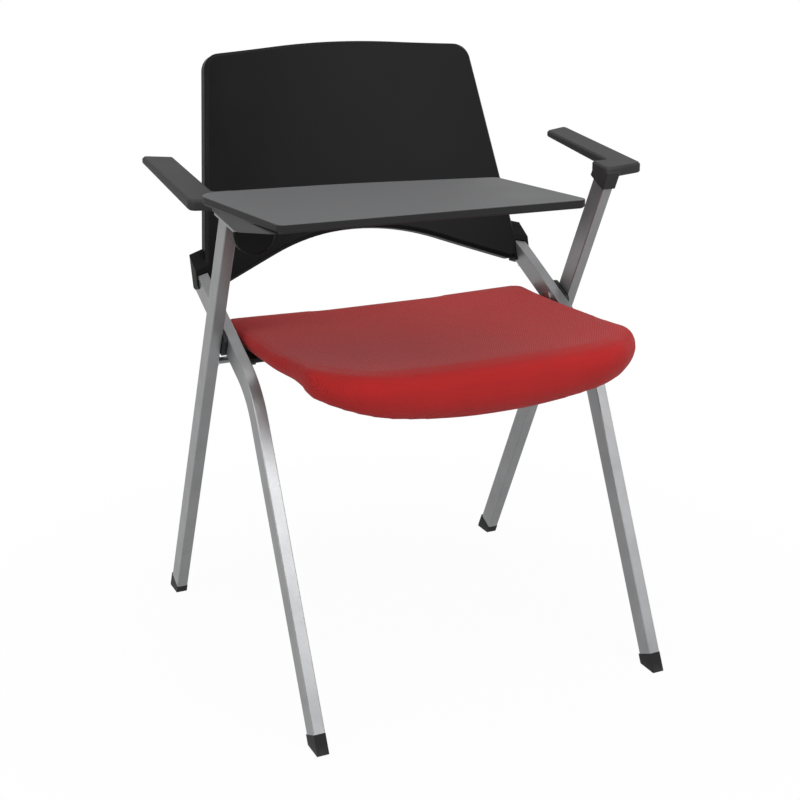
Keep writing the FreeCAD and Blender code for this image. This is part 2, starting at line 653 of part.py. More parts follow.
def seat_section(x):
    """Closed side profile of the pad at x: dished on top and rolled over into a lip in front."""
    edge = seat_edge(x)
    share = min(abs(x) / size("seat_flat_half_width"), 1.0)
    bottom = seat_underside(x)
    top = size("seat_bottom_z") + size("seat_thickness") + size("seat_dish") * share ** 2
    top -= size("seat_edge_drop") * edge
    crest_z = top + size("seat_front_rise")
    lip_z = size("seat_lip_z") + size("seat_lip_arch") * (x / size("seat_half_width")) ** 2
    nose_z = (crest_z + lip_z) / 2
    rear = size("seat_rear_y") - corner_retreat(x, size("seat_rear_corner"))
    front = size("seat_front_y") + corner_retreat(x, size("seat_front_corner"))
    bulge = size("seat_rear_bulge")
    reach = size("seat_nose_reach")
    lip_y = front + size("seat_lip_setback")
    inner_y = lip_y + size("seat_lip_thickness")
    hollow_y = inner_y + size("seat_lip_run")
    hollow_z = bottom + size("seat_front_lift") * edge
    run_radius = (size("seat_lip_run") ** 2 + (hollow_z - lip_z) ** 2) / (2 * (hollow_z - lip_z))
    run_angle = math.asin(size("seat_lip_run") / run_radius) / 2
    corner = math.sqrt(0.5)

    def at(y, z):
        return Vector(x, y, z)

    crest = at(front + reach, crest_z)
    nose = at(front, nose_z)
    lip = at(lip_y, lip_z)
    inner = at(inner_y, lip_z)
    hollow = at(hollow_y, hollow_z)
    rear_low = at(rear - bulge, bottom)
    rear_high = at(rear - bulge, top)
    middle_top = at((rear - bulge + front + reach) / 2, (top + crest_z) / 2 - size("seat_sag"))
    nose_top = at(front + reach * (1 - corner), nose_z + (crest_z - nose_z) * corner)
    nose_low = at(front + (lip_y - front) * LIP_FULLNESS, (nose_z + lip_z) / 2)
    lip_low = at((lip_y + inner_y) / 2, lip_z - size("seat_lip_thickness") * LIP_FULLNESS)
    inner_mid = at(
        hollow_y - run_radius * math.sin(run_angle), hollow_z - run_radius * (1 - math.cos(run_angle))
    )
    edges = [
        Part.Arc(rear_high, middle_top, crest),
        Part.Arc(crest, nose_top, nose),
        Part.Arc(nose, nose_low, lip),
        Part.Arc(lip, lip_low, inner),
        Part.Arc(inner, inner_mid, hollow),
        Part.LineSegment(hollow, rear_low),
        Part.Arc(rear_low, at(rear, (bottom + top) / 2), rear_high),
    ]
    return Part.Wire([edge.toShape() for edge in edges])


def seat_cushion():
    """Loft through side profiles that stand closer together towards the rims, which are left slightly blunt."""
    half_shares = (0.35, 0.78, 0.88, 0.94, 0.975, 0.993)
    shares = [-share for share in reversed(half_shares)] + list(half_shares)
    cushion = doc.addObject("Part::Feature", "seat_cushion")
    sections = [seat_section(share * size("seat_half_width")) for share in shares]
    cushion.Shape = Part.makeLoft(sections, True, True)
    cushion.Label = "seat_cushion"
    nodes.append(cushion)


# Seat pan, hinges, axle and rests
pan_top = size("seat_bottom_z") - size("face_clearance")
pan_underside = pan_top - size("pan_thickness")


def seat_pan():
    """Moulded tray under the pad, with ribs that run from front to back."""
    body = new_body("seat_pan")
    half = size("seat_half_width") - size("pan_inset")
    front = size("seat_front_y") + size("pan_front_setback")
    rear = size("seat_rear_y") - size("pan_rear_setback")
    radii = [size("pan_front_corner")] * 2 + [size("pan_rear_corner")] * 2
    plate = rounded_edges(box_points(-half, front, half, rear), radii)
    sketch = sketch_in(body, "XY_Plane", plate, Vector(0, 0, pan_underside))
    pad_in(body, sketch, size("pan_thickness"), "Sizes.pan_thickness")
    setback = size("pan_rib_setback")
    for step in (-1, 0, 1):
        low_x = step * size("pan_rib_spacing") - size("pan_rib_width") / 2
        rib = box_points(low_x, pan_underside - size("pan_rib_depth"), low_x + size("pan_rib_width"), pan_top)
        front_pad(body, rounded_edges(rib), front + setback, rear - setback)


def seat_hinge(name, side):
    """Bracket under the pan with a knuckle around the axle."""
    body = new_body(f"seat_hinge_{name}")
    plate_low = pan_underside - size("hinge_plate_thickness")
    half_length = size("hinge_plate_length") / 2
    outer = size("hinge_outer_x")
    plate = box_points(axle_y - half_length, plate_low, axle_y + half_length, pan_underside)
    plate_edges = rounded_edges(plate, size("hinge_edge_radius"))
    side_pad(body, plate_edges, *span(side, outer - size("hinge_plate_width"), outer))
    knuckle = size("hinge_knuckle_radius")
    half_cheek = size("hinge_cheek_length") / 2
    cheek = [
        (axle_y - knuckle, axle_z - knuckle),
        (axle_y + knuckle, axle_z - knuckle),
        (axle_y + half_cheek, pan_underside),
        (axle_y - half_cheek, pan_underside),
    ]
    cheek_edges = rounded_edges(cheek, [knuckle / 2, knuckle / 2, 0, 0])
    side_pad(body, cheek_edges, *span(side, outer - size("hinge_width"), outer))
    bore = circle_at(axle_y, axle_z, size("axle_radius") + size("running_clearance"))
    side_pocket(body, bore, *span(side, outer - size("hinge_width") - CUT_MARGIN, outer + CUT_MARGIN))


def seat_axle():
    body = new_body("seat_axle")
    side_pad(body, circle_at(axle_y, axle_z, size("axle_radius")), -rear_inner_x, rear_inner_x)


def seat_rest(name, side):
    """Block on the front tube that carries the lowered seat."""
    body = new_body(f"seat_rest_{name}")
    inner_end = front_inner_x - size("rest_reach")
    top = seat_underside(inner_end) - size("face_clearance")
    half = size("rest_length") / 2
    points = box_points(size("rest_y") - half, top - size("rest_height"), size("rest_y") + half, top)
    side_pad(body, rounded_edges(points, size("rest_corner")), *span(side, inner_end, front_inner_x))


# Arm pads
def arm_top_at(y):
    return size("arm_top_z") + y * math.tan(math.radians(size("arm_slope")))


def under_arm(offset):
    """Point (y, z) inside the pad's thickness on a line along the rear leg at this offset."""
    depth = size("arm_front_thickness") / 2
    slope = math.tan(math.radians(size("arm_slope")))
    foot_y, foot_z = along_rear_leg(0.0, offset)
    distance = (arm_top_at(foot_y) - depth - foot_z) / (math.cos(rake) + slope * math.sin(rake))
    return along_rear_leg(distance, offset)


def leg_offset(point):
    """How far a point lies behind the rear leg's middle line."""
    return (point.y - size("pivot_y")) * math.cos(rake) + (point.z - size("pivot_z")) * math.sin(rake)


def arm_pad(name, side):
    """Pad that steps inwards over the rear leg, with a collar below around the tube's end."""
    body = new_body(f"arm_pad_{name}")
    wall = size("collar_wall")
    inner = rear_inner_x - wall
    outer = size("arm_outer_x")
    rear = size("arm_rear_outer_y")
    cap = size("arm_collar") + size("arm_grip") + size("arm_cap")
    nose = along_rear_leg(cap, -half_depth - wall)[0]
    plan = [
        (inner, nose),
        (outer, size("arm_front_y")),
        (outer, rear),
        (size("arm_inner_x"), size("arm_rear_inner_y")),
        (size("arm_inner_x"), size("arm_neck_y")),
        (inner, size("arm_neck_y")),
    ]
    neck_corner = size("arm_neck_corner")
    rear_corner = size("arm_rear_corner")
    radii = [neck_corner, size("arm_front_corner"), rear_corner, rear_corner, neck_corner, neck_corner]
    low = arm_top_at(nose) - size("arm_front_thickness") - CUT_MARGIN
    high = arm_top_at(rear) + CUT_MARGIN
    outline = rounded_edges([(side * x, y) for x, y in plan], radii)
    pad_in(body, sketch_in(body, "XY_Plane", outline, Vector(0, 0, low)), high - low)
    front_end = nose - CUT_MARGIN
    rear_end = rear + CUT_MARGIN
    thinning = (size("arm_front_thickness") - size("arm_rear_thickness")) / (rear - nose)

    def underside(y):
        return arm_top_at(y) - size("arm_front_thickness") + thinning * (y - nose)

    above = [(front_end, arm_top_at(front_end)), (rear_end, arm_top_at(rear_end))]
    above += [(rear_end, high + CUT_MARGIN), (front_end, high + CUT_MARGIN)]
    below = [(front_end, underside(front_end)), (front_end, low - CUT_MARGIN)]
    below += [(rear_end, low - CUT_MARGIN), (rear_end, underside(rear_end))]
    for waste in (above, below):
        side_pocket(body, rounded_edges(waste), *span(side, inner - CUT_MARGIN, outer + CUT_MARGIN))
    soften(body, "Chamfer", "arm_edge_chamfer", lambda point: near(point.z, arm_top_at(point.y)))
    soften(body, "Chamfer", "arm_low_chamfer", lambda point: near(point.z, underside(point.y)))
    half = half_depth + wall
    collar_ends = [along_rear_leg(size("arm_collar"), offset) for offset in (-half, half)]
    neck = [*collar_ends, under_arm(half), under_arm(-half)]
    outer_collar = rear_outer_x + wall
    side_pad(body, rounded_edges(neck), *span(side, inner, outer_collar))

    def on_collar_corner(point):
        return near(abs(leg_offset(point)), half) and near(abs(point.x), outer_collar)

    soften(body, "Fillet", "collar_radius", on_collar_corner)
    tilt = FreeCAD.Rotation(X_AXIS, size("leg_rake"))
    middle_x = side * rear_mid_x
    clear = size("slip_clearance")
    hole_end = Vector(0, *along_rear_leg(size("arm_collar") + size("arm_grip") + clear))
    hole = sketch_in(body, "XY_Plane", tube_section(middle_x, -clear), hole_end, tilt)
    pocket_in(body, hole, size("arm_grip") + CUT_MARGIN)


# Writing tablet on the sitter's right arm
hub_rear_y = size("hub_front_y") + size("hub_thickness")
boss_inset = half_depth - size("bracket_inset") - size("boss_inset")
boss_rear_y = along_rear_leg((size("bracket_start") + size("bracket_end")) / 2, boss_inset)[0]
pin_front_y = size("hub_front_y") + size("tablet_pin_inset")
pin_rear_y = boss_rear_y - size("tablet_pin_inset")


def hub_circle(radius):
    return circle_at(size("hub_x"), size("hub_z"), radius)


def tablet_bracket():
    """Fixed block on the inner face of the right rear leg, with the boss for the tablet's pin."""
    body = new_body("tablet_bracket")
    inset = half_depth - size("bracket_inset")
    corners = box_points(size("bracket_start"), -inset, size("bracket_end"), inset)
    block = rounded_edges([along_rear_leg(*corner) for corner in corners], size("bracket_corner"))
    side_pad(body, block, -rear_inner_x, size("hub_x"))
    boss_front_y = hub_rear_y + size("face_clearance")
    front_pad(body, hub_circle(size("boss_radius")), boss_front_y, boss_rear_y)
    front_pocket(body, hub_circle(size("tablet_pin_radius")), boss_front_y - CUT_MARGIN, pin_rear_y)


def tablet_pin():
    body = new_body("tablet_pin")
    front_pad(body, hub_circle(size("tablet_pin_radius")), pin_front_y, pin_rear_y)


def hub_foot_points(clearance):
    """Front view of the hub's foot, which lies in the support under the board."""
    half = size("hub_half_width") + clearance
    low = board_underside - size("slip_clearance") - size("hub_foot_thickness") - clearance
    return size("hub_x") - half, low, size("hub_x") + half, board_underside - size("slip_clearance")


def tablet_hub():
    """Disc that turns on the pin, a neck, and a foot that lies under the board."""
    body = new_body("tablet_hub")
    front_y = size("hub_front_y")
    front_pad(body, hub_circle(size("hub_radius")), front_y, hub_rear_y, "Sizes.hub_thickness")
    soften(body, "Chamfer", "hub_chamfer", lambda point: near(point.y, front_y))
    low_x, low_z, high_x, high_z = hub_foot_points(0.0)
    neck_rear_y = front_y + size("neck_thickness")
    neck = rounded_edges(box_points(low_x, size("hub_z"), high_x, high_z))
    front_pad(body, neck, front_y, neck_rear_y, "Sizes.neck_thickness")
    foot_plate = rounded_edges(box_points(low_x, low_z, high_x, high_z))
    front_pad(body, foot_plate, front_y - size("hub_foot_length"), neck_rear_y)
    bore = hub_circle(size("tablet_pin_radius") + size("running_clearance"))
    front_pocket(body, bore, pin_front_y - size("face_clearance"), hub_rear_y + CUT_MARGIN)


def tablet_board():
    """Level board with rounded corners and a slightly bowed far edge."""
    body = new_body("tablet_board")
    corners = ("far_left", "far_right", "near_right", "near_left")
    points = [(size(f"board_{corner}_x"), size(f"board_{corner}_y")) for corner in corners]
    radii = [size(f"board_{corner}_corner") for corner in corners]
    middle = ((points[0][0] + points[1][0]) / 2, (points[0][1] + points[1][1]) / 2 + 2 * size("board_far_bow"))
    half_far = (points[1][0] - points[0][0]) / 2
    bow_radius = half_far ** 2 / (4 * size("board_far_bow"))
    outline = rounded_edges([points[0], middle, *points[1:]], [radii[0], bow_radius / 2, *radii[1:]])
    sketch = sketch_in(body, "XY_Plane", outline, Vector(0, 0, board_underside))
    pad_in(body, sketch, size("board_thickness"), "Sizes.board_thickness")
    soften(body, "Chamfer", "board_top_chamfer", lambda point: near(point.z, size("board_top_z")))
    soften(body, "Chamfer", "board_low_chamfer", lambda point: near(point.z, board_underside))


def keel_line():
    """The support's heel and its deepest point in side view."""
    heel = (size("hub_front_y") - size("slip_clearance"), board_underside - size("support_heel_depth"))
    keel = (size("support_keel_y"), board_underside - size("support_depth"))
    return heel, keel


def tablet_support():
    """Boat-shaped rib under the board, with a slot for the hub's foot."""
    body = new_body("tablet_support")
    heel, keel = keel_line()
    points = [(heel[0], board_underside), heel, keel, (size("support_front_y"), board_underside)]
    radii = [0, size("support_heel_radius"), size("support_keel_radius"), 0]
    side_pad(body, rounded_edges(points, radii), size("support_outer_x"), size("support_inner_x"))
    low_x, low_z, high_x, high_z = hub_foot_points(size("slip_clearance"))
    slot = rounded_edges(box_points(low_x, low_z, high_x, high_z + CUT_MARGIN))
    slot_front_y = size("hub_front_y") - size("hub_foot_length") - size("slip_clearance")
    front_pocket(body, slot, slot_front_y, size("hub_front_y") + CUT_MARGIN)


def tablet_strap():
    """Thin steel strap along the straight rear half of the support's underside."""
    body = new_body("tablet_strap")
    heel, keel = keel_line()
    start = Vector(*heel, 0)
    run = (Vector(*keel, 0) - start).normalize()
    down = Vector(-run.y, run.x, 0) * size("strap_thickness")
    first = start + run * size("strap_start")
    last = first + run * size("strap_length")
    points = [(point.x, point.y) for point in (first, last, last + down, first + down)]
    low_x = hub_foot_points(0.0)[0]
    side_pad(body, rounded_edges(points), size("support_outer_x"), low_x)


for name, side in SIDES:
    front_leg_tube(name, side)
    rear_leg_tube(name, side)
    foot(f"front_foot_{name}", side * front_mid_x, -size("leg_rake"), front_tube_end)
    foot(f"rear_foot_{name}", side * rear_mid_x, size("leg_rake"), rear_tube_end)
    pivot_spacer(name, side)
    pivot_pin(name, side)
    pivot_bush(name, side)
    seat_rest(name, side)
    seat_hinge(name, side)
    arm_pad(name, side)
backrest_shell()
seat_axle()
seat_cushion()
seat_pan()
tablet_bracket()
tablet_pin()
tablet_hub()
tablet_board()
tablet_support()
tablet_strap()
doc.recompute()

for item in doc.Objects:
    if "Invalid" in item.State or "Error" in item.State:
        raise RuntimeError(f"{item.Label} did not build: {item.State}")
os.makedirs("parts", exist_ok=True)
for node in nodes:
    if node.Shape.isNull() or not node.Shape.isValid():
        raise RuntimeError(f"{node.Label} has no valid shape")
    node.Shape.exportStep(os.path.join("parts", f"{node.Label}.step"))
    print(node.Label, len(node.Shape.Solids), round(node.Shape.Volume))
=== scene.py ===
import math
import bpy
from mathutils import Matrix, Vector


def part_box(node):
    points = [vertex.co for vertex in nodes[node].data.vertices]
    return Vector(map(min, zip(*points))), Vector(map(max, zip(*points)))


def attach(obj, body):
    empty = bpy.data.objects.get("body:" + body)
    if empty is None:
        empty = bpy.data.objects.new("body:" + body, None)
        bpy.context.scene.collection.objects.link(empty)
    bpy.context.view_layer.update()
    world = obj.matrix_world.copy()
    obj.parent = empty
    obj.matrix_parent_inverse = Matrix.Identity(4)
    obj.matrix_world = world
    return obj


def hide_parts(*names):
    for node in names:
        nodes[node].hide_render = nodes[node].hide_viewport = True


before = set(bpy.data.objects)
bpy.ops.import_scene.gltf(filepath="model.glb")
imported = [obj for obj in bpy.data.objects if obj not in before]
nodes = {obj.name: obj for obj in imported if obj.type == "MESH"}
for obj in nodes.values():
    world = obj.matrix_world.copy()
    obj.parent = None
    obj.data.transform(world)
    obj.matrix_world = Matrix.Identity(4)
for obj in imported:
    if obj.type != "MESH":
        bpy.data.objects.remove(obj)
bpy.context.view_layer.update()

# Tablet arm chair.  Metres, in the CAD frame: +X to the sitter's left, +Y to the back, +Z up.
scene = bpy.context.scene

# Camera of the photograph
CAMERA_PLACE = Vector((-0.81886, -1.69919, 0.97614))
CAMERA_AIM = Vector((0.4021, 0.8586, -0.3179))
CAMERA_LENS = 66.5
CAMERA_SENSOR = 36.0

# Places on the CAD model that the small fittings sit on
LEG_RAKE = math.radians(26.0)
PIVOT_Y = 0.05605
PIVOT_Z = 0.4472
AXLE_DROP = 0.040
REAR_TUBE_INNER_X = 0.2555
FRONT_TUBE_MIDDLE_X = 0.24245
REAR_TUBE_MIDDLE_X = 0.26325
SLEEVE_HALF_DEPTH = 0.0171
PAN_UNDERSIDE_Z = 0.4237
HINGE_PLATE_UNDERSIDE_Z = 0.4197
KEEL_Y = -0.15225
KEEL_Z = 0.6295
KEEL_SLOPE = math.radians(9.9)
PAN_SCREW_X = 0.140
PAN_SCREW_FRONT_Y = -0.105
PAN_SCREW_REAR_Y = 0.020
HINGE_SCREW_X = 0.175
HINGE_SCREW_STEP = 0.028
COLLAR_SCREW_RUN = 0.2022
SOCKET_SCREW_RUN = 0.0947
KEEL_SCREW_Y = -0.215
KEEL_SCREW_OUTER_X = -0.285
KEEL_SCREW_INNER_X = -0.225

# Seat pad: mesh and filling
PAD_VOXEL = 0.0038
PAD_WELD = 0.00002
PAD_UNDERSIDE_SLACK = 0.0015
PAD_SHRINK = 0.0015
PAD_PLUMP = 0.0014
PAD_SWELL_LIMIT = 0.003
PAD_PRESSURE = 4.0
PAD_FRAMES = 12
PAD_STEPS_PER_FRAME = 6
PAD_STIFFNESS = 2.0
FORM_PASSES = 14
FILLED_PASSES = 12
LAST_PASSES = 5

# Seat pad: the CAD cushion's sizes, and how its form is changed
PAD_UNDERSIDE_Z = 0.429
PAD_FLAT_HALF_WIDTH = 0.196
PAD_HALF_WIDTH = 0.2306
PAD_STATIONS = (0.0, 0.35, 0.78, 0.88, 0.94, 0.975, 0.993)
LIP_ARCH = 0.034
LIP_DEPTH = 0.095
LIP_FULL_SHARE = 0.6
RIM_RISE = 0.0085
RIM_START_HEIGHT = 0.002
RIM_FULL_HEIGHT = 0.016
CORNER_PULL = 0.007
CORNER_PUSH = 0.018
CORNER_START_X = 0.135
CORNER_FULL_X = 0.225
CORNER_START_REACH = 0.19
CORNER_FULL_REACH = 0.09
FOLD_REACH = 0.034
FOLD_POWER = 4.0
FOLD_STEP = 0.006
FOLD_TOP_SHARE = 1.5
FOLD_END_X = 0.215
FOLD_FULL_X = 0.165

# Finishes: the cloth's threads, the moulded pieces' softened edges and the lean of the strap's lines
THREAD_PITCH = 0.0016
WARP_WAY = Vector((1.0, 0.3, -0.3))
WEFT_WAY = Vector((0.0, 1.0, 1.0))
SOFT_EDGE = 0.003
STRAP_LEAN = math.radians(80.0)

# Screws and the rings on the seat's axle
SCREW_RADIUS = 0.0042
SCREW_HEIGHT = 0.0018
RECESS_WIDTH = 0.0011
RECESS_DEPTH = 0.0010
RECESS_REACH = 0.0013
RING_RADIUS = 0.0068
RING_BORE = 0.0047
RING_LENGTH = 0.0040
RING_ROUNDING = 0.0005
SHARP_EDGE = math.radians(35.0)

# Studio
WORLD_LIGHT = 0.22
FLOOR_WIDTH = 12.0
FLOOR_GREY = 0.55
FLOOR_SHADOW_WHITENESS = 0.965
FLOOR_SHADOW_RADIUS = 0.30
FLOOR_WHITE_RADIUS = 0.80
LIGHT_AIM = Vector((0.0, 0.0, 0.5))


# Modelling helpers
def only(piece):
    """Make this the one selected and active object, outside edit mode."""
    if bpy.context.mode != "OBJECT":
        bpy.ops.object.mode_set(mode="OBJECT")
    bpy.ops.object.select_all(action="DESELECT")
    piece.select_set(True)
    bpy.context.view_layer.objects.active = piece


def apply_modifier(piece, modifier):
    only(piece)
    bpy.ops.object.modifier_apply(modifier=modifier.name)


def settle(piece):
    """Put the object's place, turn and scale into its mesh."""
    only(piece)
    bpy.ops.object.transform_apply(location=True, rotation=True, scale=True)


def dress(piece, material):
    piece.data.materials.clear()
    piece.data.materials.append(material)


def select_faces(piece, wanted):
    """Select in edit mode the faces that pass a test."""
    only(piece)
    bpy.ops.object.mode_set(mode="EDIT")
    bpy.ops.mesh.select_mode(type="FACE")
    bpy.ops.mesh.select_all(action="DESELECT")
    bpy.ops.object.mode_set(mode="OBJECT")
    for face in piece.data.polygons:
        face.select = wanted(face)
    bpy.ops.object.mode_set(mode="EDIT")


def place_copy(pattern, name, place, facing):
    """A copy of a modelled piece with its own mesh, its top turned to face one way."""
    piece = bpy.data.objects.new(name, pattern.data.copy())
    scene.collection.objects.link(piece)
    piece.location = place
    piece.rotation_mode = "QUATERNION"
    piece.rotation_quaternion = Vector(facing).to_track_quat("Z", "Y")
    settle(piece)
    return piece


# Material helpers
def new_material(name):
    """A material, its node tree and its principled shader."""
    material = bpy.data.materials.new(name)
    material.use_nodes = True
    return material, material.node_tree, material.node_tree.nodes["Principled BSDF"]


def add_node(tree, kind, values=None, **settings):
    """A shader node with its settings and the values of its unlinked sockets."""
    node = tree.nodes.new(f"ShaderNode{kind}")
    for name, value in settings.items():
        setattr(node, name, value)
    for name, value in (values or {}).items():
        node.inputs[name].default_value = value
    return node


def object_place(tree, scale=(1, 1, 1), turn=(0, 0, 0)):
    """Object coordinates, stretched and turned."""
    coordinates = add_node(tree, "TexCoord")
    mapping = add_node(tree, "Mapping", {"Scale": scale, "Rotation": turn})
    tree.links.new(coordinates.outputs["Object"], mapping.inputs["Vector"])
    return mapping.outputs["Vector"]


def noise(tree, place, scale, detail=2.0, roughness=0.5):
    texture = add_node(tree, "TexNoise", {"Scale": scale, "Detail": detail, "Roughness": roughness})
    tree.links.new(place, texture.inputs["Vector"])
    return texture.outputs["Fac"]


def spread(tree, source, low, high, start=0.3, end=0.7):
    """Map a value from the range start to end onto the range low to high."""
    node = add_node(tree, "MapRange", {"From Min": start, "From Max": end, "To Min": low, "To Max": high})
    tree.links.new(source, node.inputs["Value"])
    return node.outputs["Result"]


def blend_colours(tree, source, first, second):
    node = add_node(tree, "Mix", data_type="RGBA")
    tree.links.new(source, node.inputs["Factor"])
    for socket, colour in ((node.inputs[6], first), (node.inputs[7], second)):
        if isinstance(colour, tuple):
            socket.default_value = (*colour, 1.0)
        else:
            tree.links.new(colour, socket)
    return node.outputs[2]


def calculate(tree, operation, first, second=None):
    node = add_node(tree, "Math", operation=operation)
    for socket, value in zip(node.inputs, (first, second)):
        if value is None:
            continue
        if isinstance(value, (int, float)):
            socket.default_value = value
        else:
            tree.links.new(value, socket)
    return node.outputs[0]


def bump(tree, height, depth, strength=1.0, under=None):
    """A bump of this depth, on top of another bump where one is given."""
    node = add_node(tree, "Bump", {"Strength": strength, "Distance": depth})
    tree.links.new(height, node.inputs["Height"])
    if under is not None:
        tree.links.new(under, node.inputs["Normal"])
    return node.outputs["Normal"]


def satin_chrome(name, lean):
    """Satin chrome with faint drawn lines, which lean from upright by an angle."""
    material, tree, shader = new_material(name)
    along = object_place(tree, (1500, 1500, 18), (lean, 0, 0))
    lines = noise(tree, along, 1.0, 3.0)
    cloud = noise(tree, object_place(tree), 22.0, 4.0)
    tint = blend_colours(tree, spread(tree, cloud, 0, 1), (0.205, 0.207, 0.211), (0.240, 0.242, 0.247))
    tree.links.new(tint, shader.inputs["Base Color"])
    tree.links.new(spread(tree, lines, 0.30, 0.42), shader.inputs["Roughness"])
    tree.links.new(bump(tree, lines, 0.00002), shader.inputs["Normal"])
    shader.inputs["Metallic"].default_value = 0.65
    shader.inputs["Specular IOR Level"].default_value = 0.3
    return material


def zinc_steel(name):
    material, tree, shader = new_material(name)
    grain = noise(tree, object_place(tree), 900.0, 3.0)
    cloud = noise(tree, object_place(tree), 120.0, 3.0)
    tint = blend_colours(tree, spread(tree, cloud, 0, 1), (0.36, 0.37, 0.38), (0.48, 0.48, 0.46))
    tree.links.new(tint, shader.inputs["Base Color"])
    tree.links.new(spread(tree, grain, 0.24, 0.42), shader.inputs["Roughness"])
    tree.links.new(bump(tree, grain, 0.00003), shader.inputs["Normal"])
    shader.inputs["Metallic"].default_value = 1.0
    return material


def moulded_black(name, dark, light, smooth, rough, gloss=0.2, grain_scale=1500.0, grain_depth=0.00006):
    """Moulded plastic with a fine spark-eroded grain, faint clouding and softened edges."""
    material, tree, shader = new_material(name)
    place = object_place(tree)
    cells = add_node(tree, "TexVoronoi", {"Scale": grain_scale}, feature="SMOOTH_F1")
    tree.links.new(place, cells.inputs["Vector"])
    grain = noise(tree, place, grain_scale * 0.6, 3.0)
    cloud = noise(tree, place, 16.0, 5.0)
    tint = blend_colours(tree, spread(tree, cloud, 0, 1), (dark,) * 3, (light,) * 3)
    tree.links.new(tint, shader.inputs["Base Color"])
    tree.links.new(spread(tree, cloud, smooth, rough), shader.inputs["Roughness"])
    edges = add_node(tree, "Bevel", {"Radius": SOFT_EDGE}, samples=6)
    fine = bump(tree, grain, grain_depth, 1.0, edges.outputs["Normal"])
    tree.links.new(bump(tree, cells.outputs["Distance"], grain_depth, 0.6, fine), shader.inputs["Normal"])
    shader.inputs["Specular IOR Level"].default_value = gloss
    return material


def foot_rubber(name):
    """Matt rubber, greyer with floor dust towards the ground."""
    material, tree, shader = new_material(name)
    place = object_place(tree)
    grain = noise(tree, place, 1100.0, 4.0)
    smudge = noise(tree, place, 90.0, 4.0)
    split = add_node(tree, "SeparateXYZ")
    tree.links.new(place, split.inputs["Vector"])
    height = spread(tree, split.outputs["Z"], 1.0, 0.0, 0.0, 0.012)
    dust = calculate(tree, "MULTIPLY", height, spread(tree, smudge, 0.0, 0.8))
    tint = blend_colours(tree, dust, (0.008, 0.008, 0.008), (0.035, 0.034, 0.032))
    tree.links.new(tint, shader.inputs["Base Color"])
    tree.links.new(spread(tree, grain, 0.5, 0.7), shader.inputs["Roughness"])
    tree.links.new(bump(tree, grain, 0.00012), shader.inputs["Normal"])
    shader.inputs["Specular IOR Level"].default_value = 0.15
    return material


def writing_laminate(name, top_z):
    """Grey laminate with a fine speckle, and a black band round the edge and below."""
    material, tree, shader = new_material(name)
    place = object_place(tree)
    speckle = noise(tree, place, 1700.0, 2.0, 0.7)
    cloud = noise(tree, place, 9.0, 5.0)
    grain = noise(tree, place, 1000.0, 3.0)
    grey = blend_colours(tree, spread(tree, speckle, 0, 1), (0.060, 0.061, 0.063), (0.084, 0.085, 0.087))
    worn = blend_colours(tree, spread(tree, cloud, 0, 0.35), grey, (0.096, 0.097, 0.099))
    band = blend_colours(tree, spread(tree, speckle, 0, 1), (0.010, 0.010, 0.010), (0.017, 0.017, 0.017))
    split = add_node(tree, "SeparateXYZ")
    tree.links.new(place, split.inputs["Vector"])
    on_top = spread(tree, split.outputs["Z"], 0.0, 1.0, top_z - 0.0006, top_z - 0.0003)
    tree.links.new(blend_colours(tree, on_top, band, worn), shader.inputs["Base Color"])
    tree.links.new(spread(tree, cloud, 0.46, 0.56), shader.inputs["Roughness"])
    tree.links.new(bump(tree, grain, 0.00004), shader.inputs["Normal"])
    shader.inputs["Specular IOR Level"].default_value = 0.12
    return material


def woven_red(name):
    """Plain-woven upholstery, with painted shade in the dips between its threads.  Its weft runs out on
    faces that look forwards and down at 45 degrees.
    """
    material, tree, shader = new_material(name)
    place = object_place(tree)
    threads = add_node(tree, "CombineXYZ")
    rows = []
    for axis, way in (("X", WARP_WAY), ("Y", WEFT_WAY)):
        along = add_node(tree, "VectorMath", operation="DOT_PRODUCT")
        along.inputs[1].default_value = way / THREAD_PITCH
        tree.links.new(place, along.inputs[0])
        tree.links.new(along.outputs["Value"], threads.inputs[axis])
        turns = calculate(tree, "MULTIPLY", along.outputs["Value"], math.pi)
        rows.append(calculate(tree, "ABSOLUTE", calculate(tree, "SINE", turns)))
    over = add_node(tree, "TexChecker", {"Scale": 1.0})
    tree.links.new(threads.outputs["Vector"], over.inputs["Vector"])
    warp = calculate(tree, "MULTIPLY", rows[0], over.outputs["Fac"])
    weft = calculate(tree, "MULTIPLY", rows[1], calculate(tree, "SUBTRACT", 1.0, over.outputs["Fac"]))
    height = calculate(tree, "ADD", warp, weft)
    fuzz = noise(tree, place, 2600.0, 3.0, 0.7)
    cloud = noise(tree, place, 26.0, 5.0)
    # The yarn's own red, made darker where the threads dip: painted shade in the gaps between threads.
    yarn_red_and_gap_shade = blend_colours(tree, spread(tree, height, 0, 1, 0, 1), (0.21, 0.008, 0.008), (0.39, 0.016, 0.016))
    shade = spread(tree, cloud, 0.0, 0.22)
    mottled = blend_colours(tree, shade, yarn_red_and_gap_shade, (0.26, 0.010, 0.010))
    tree.links.new(mottled, shader.inputs["Base Color"])
    tree.links.new(spread(tree, fuzz, 0.78, 0.95), shader.inputs["Roughness"])
    fibres = bump(tree, fuzz, 0.00008)
    tree.links.new(bump(tree, height, 0.00022, 0.8, fibres), shader.inputs["Normal"])
    shader.inputs["Sheen Weight"].default_value = 0.12
    shader.inputs["Sheen Roughness"].default_value = 0.45
    shader.inputs["Sheen Tint"].default_value = (1.0, 0.80, 0.80, 1.0)
    shader.inputs["Specular IOR Level"].default_value = 0.12
    return material


